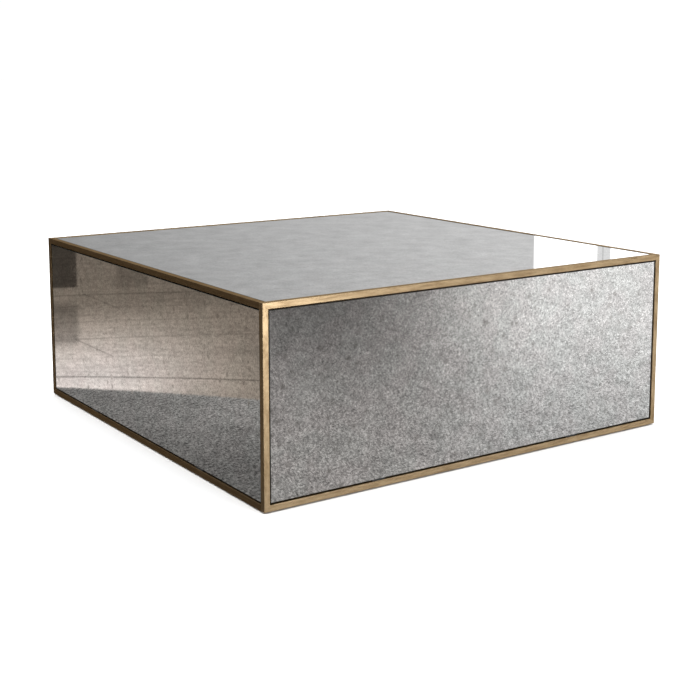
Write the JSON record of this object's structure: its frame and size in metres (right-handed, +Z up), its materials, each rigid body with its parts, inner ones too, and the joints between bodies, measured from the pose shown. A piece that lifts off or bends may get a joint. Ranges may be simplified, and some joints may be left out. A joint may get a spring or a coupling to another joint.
{
  "type": "mirrored plinth coffee table",
  "caption": "Low square block table: a brass tube frame filled with antiqued mirror on the top and all sides, standing on hidden screw levellers.",
  "frame": {"origin": "centre of the footprint on the floor", "axes": "+Z up; the front side faces -Y and the right side faces +X; the table is square"},
  "size_m": [1.0668, 1.0668, 0.4064],
  "materials": {
    "antique_brass": "satin antique brass, brushed along the tube, lightly tarnished",
    "antiqued_mirror": "antiqued silvering under polished glass, cloudy and speckled",
    "foam_tape": "matt black foam",
    "mastic": "cured grey mirror mastic",
    "rubber_block": "matt black rubber",
    "hardboard": "pressed fibre board, smooth face",
    "fibreboard": "raw medium density fibreboard",
    "black_board": "fibreboard painted matt black",
    "beech": "planed beech",
    "zinc_steel": "zinc plated",
    "insert_brass": "turned brass",
    "nylon_pad": "moulded black nylon"
  },
  "bodies": {
    "table": {"post_front_left": "antique_brass", "post_front_right": "antique_brass", "post_back_right": "antique_brass", "post_back_left": "antique_brass", "top_rail_front": "antique_brass", "top_rail_right": "antique_brass", "top_rail_back": "antique_brass", "top_rail_left": "antique_brass", "bottom_rail_front": "antique_brass", "bottom_rail_right": "antique_brass", "bottom_rail_back": "antique_brass", "bottom_rail_left": "antique_brass", "frame_lugs": "zinc_steel", "lug_screws": "zinc_steel", "mirror_top": "antiqued_mirror", "mirror_front": "antiqued_mirror", "mirror_right": "antiqued_mirror", "mirror_back": "antiqued_mirror", "mirror_left": "antiqued_mirror", "edge_tape_top": "foam_tape", "edge_tape_front": "foam_tape", "edge_tape_right": "foam_tape", "edge_tape_back": "foam_tape", "edge_tape_left": "foam_tape", "mastic_top": "mastic", "mastic_front": "mastic", "mastic_right": "mastic", "mastic_back": "mastic", "mastic_left": "mastic", "backing_top": "hardboard", "backing_front": "hardboard", "backing_right": "hardboard", "backing_back": "hardboard", "backing_left": "hardboard", "setting_blocks": "rubber_block", "deck_board": "fibreboard", "side_board_front": "fibreboard", "side_board_right": "fibreboard", "side_board_back": "fibreboard", "side_board_left": "fibreboard", "base_board": "black_board", "rib_long": "fibreboard", "rib_cross": "fibreboard", "corner_blocks": "beech", "foot_blocks": "beech", "deck_screws": "zinc_steel", "base_screws": "zinc_steel", "threaded_inserts": "insert_brass"},
    "pad_front_left": {"leveller_pad_front_left": "nylon_pad"},
    "stem_front_left": {"leveller_stem_front_left": "zinc_steel"},
    "pad_front_right": {"leveller_pad_front_right": "nylon_pad"},
    "stem_front_right": {"leveller_stem_front_right": "zinc_steel"},
    "pad_back_right": {"leveller_pad_back_right": "nylon_pad"},
    "stem_back_right": {"leveller_stem_back_right": "zinc_steel"},
    "pad_back_left": {"leveller_pad_back_left": "nylon_pad"},
    "stem_back_left": {"leveller_stem_back_left": "zinc_steel"}
  },
  "joints": [
    {"name": "leveller_front_left_travel", "type": "slide", "parent": "table", "child": "pad_front_left", "axis": [0, 0, -1], "range_m": [0, 0.01]},
    {"name": "leveller_front_left_turn", "type": "hinge", "parent": "pad_front_left", "child": "stem_front_left", "pos_m": [-0.4694, -0.4694, 0.02], "axis": [0, 0, -1], "range_deg": [0, 2880]},
    {"name": "leveller_front_right_travel", "type": "slide", "parent": "table", "child": "pad_front_right", "axis": [0, 0, -1], "range_m": [0, 0.01]},
    {"name": "leveller_front_right_turn", "type": "hinge", "parent": "pad_front_right", "child": "stem_front_right", "pos_m": [0.4694, -0.4694, 0.02], "axis": [0, 0, -1], "range_deg": [0, 2880]},
    {"name": "leveller_back_right_travel", "type": "slide", "parent": "table", "child": "pad_back_right", "axis": [0, 0, -1], "range_m": [0, 0.01]},
    {"name": "leveller_back_right_turn", "type": "hinge", "parent": "pad_back_right", "child": "stem_back_right", "pos_m": [0.4694, 0.4694, 0.02], "axis": [0, 0, -1], "range_deg": [0, 2880]},
    {"name": "leveller_back_left_travel", "type": "slide", "parent": "table", "child": "pad_back_left", "axis": [0, 0, -1], "range_m": [0, 0.01]},
    {"name": "leveller_back_left_turn", "type": "hinge", "parent": "pad_back_left", "child": "stem_back_left", "pos_m": [-0.4694, 0.4694, 0.02], "axis": [0, 0, -1], "range_deg": [0, 2880]}
  ],
  "couplings": [
    {"joint": "leveller_front_left_turn", "follows": "leveller_front_left_travel", "rad_per_m": 5026.5},
    {"joint": "leveller_front_right_turn", "follows": "leveller_front_right_travel", "rad_per_m": 5026.5},
    {"joint": "leveller_back_right_turn", "follows": "leveller_back_right_travel", "rad_per_m": 5026.5},
    {"joint": "leveller_back_left_turn", "follows": "leveller_back_left_travel", "rad_per_m": 5026.5}
  ]
}
